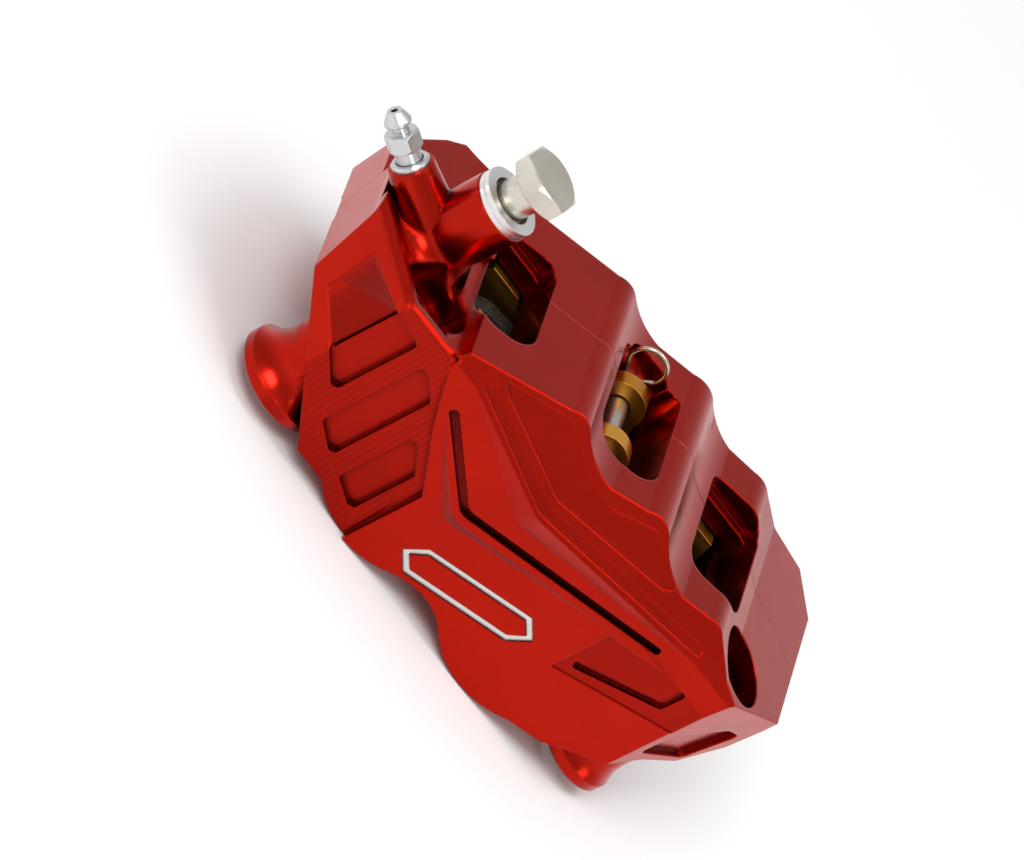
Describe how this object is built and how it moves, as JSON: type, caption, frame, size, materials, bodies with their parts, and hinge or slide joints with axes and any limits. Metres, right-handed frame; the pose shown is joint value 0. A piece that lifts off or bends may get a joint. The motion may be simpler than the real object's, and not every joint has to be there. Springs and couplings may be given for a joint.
{
  "type": "brake caliper",
  "caption": "Radial-mount motorcycle disc brake caliper in two bolted billet halves, with opposed pistons, sliding pads, pad pin, hose banjo bolt and bleed screw.",
  "frame": {"origin": "midway between the two mounting bolt axes, on the plane of the feet", "axes": "+X along the line of the mounting bolts, from the hose end to the other end; +Y from the outer half towards the wheel, along the pistons; +Z from the feet towards the bridge, away from the wheel's axle"},
  "size_m": [0.1629, 0.0779, 0.0773],
  "materials": {
    "anodised_red": "glossy clear red anodising over machined billet",
    "black_oxide": "black oxide",
    "seal_rubber": "smooth moulded rubber",
    "piston_metal": "hard anodised, ground",
    "zinc_plate": "yellow passivated zinc",
    "friction": "sintered, coarse matt",
    "pin_steel": "ground stainless",
    "spring_wire": "drawn stainless wire",
    "washer_alloy": "turned, satin",
    "banjo_steel": "satin nickel",
    "nipple_zinc": "bright zinc"
  },
  "bodies": {
    "caliper": {"outer_half": "anodised_red", "inner_half": "anodised_red", "bridge_bolts": "black_oxide", "crossover_seals": "seal_rubber", "pressure_seals": "seal_rubber", "dust_seals": "seal_rubber", "pad_pin": "pin_steel", "pin_clip": "spring_wire", "lower_washer": "washer_alloy", "upper_washer": "washer_alloy", "banjo_bolt": "banjo_steel", "bleed_washer": "nipple_zinc"},
    "outer_pad": {"outer_pad_plate": "zinc_plate", "outer_pad_lining": "friction"},
    "inner_pad": {"inner_pad_plate": "zinc_plate", "inner_pad_lining": "friction"},
    "piston_outer_left": {"piston_outer_left": "piston_metal"},
    "piston_outer_right": {"piston_outer_right": "piston_metal"},
    "piston_inner_left": {"piston_inner_left": "piston_metal"},
    "piston_inner_right": {"piston_inner_right": "piston_metal"},
    "bleeder": {"bleed_screw": "nipple_zinc"}
  },
  "joints": [
    {"name": "outer_pad_slide", "type": "slide", "parent": "caliper", "child": "outer_pad", "axis": [0, 1, 0], "range_m": [0, 0.003]},
    {"name": "inner_pad_slide", "type": "slide", "parent": "caliper", "child": "inner_pad", "axis": [0, -1, 0], "range_m": [0, 0.003]},
    {"name": "piston_outer_left_slide", "type": "slide", "parent": "caliper", "child": "piston_outer_left", "axis": [0, 1, 0], "range_m": [0, 0.003]},
    {"name": "piston_outer_right_slide", "type": "slide", "parent": "caliper", "child": "piston_outer_right", "axis": [0, 1, 0], "range_m": [0, 0.003]},
    {"name": "piston_inner_left_slide", "type": "slide", "parent": "caliper", "child": "piston_inner_left", "axis": [0, -1, 0], "range_m": [0, 0.003]},
    {"name": "piston_inner_right_slide", "type": "slide", "parent": "caliper", "child": "piston_inner_right", "axis": [0, -1, 0], "range_m": [0, 0.003]},
    {"name": "bleed_turn", "type": "hinge", "parent": "caliper", "child": "bleeder", "pos_m": [-0.0589, 0.0165, 0.0419], "axis": [-0.9337, 0, 0.358], "range_deg": [0, 180]}
  ],
  "couplings": [
    {"joint": "piston_outer_left_slide", "follows": "outer_pad_slide", "ratio": 1},
    {"joint": "piston_outer_right_slide", "follows": "outer_pad_slide", "ratio": 1},
    {"joint": "piston_inner_left_slide", "follows": "inner_pad_slide", "ratio": 1},
    {"joint": "piston_inner_right_slide", "follows": "inner_pad_slide", "ratio": 1}
  ]
}
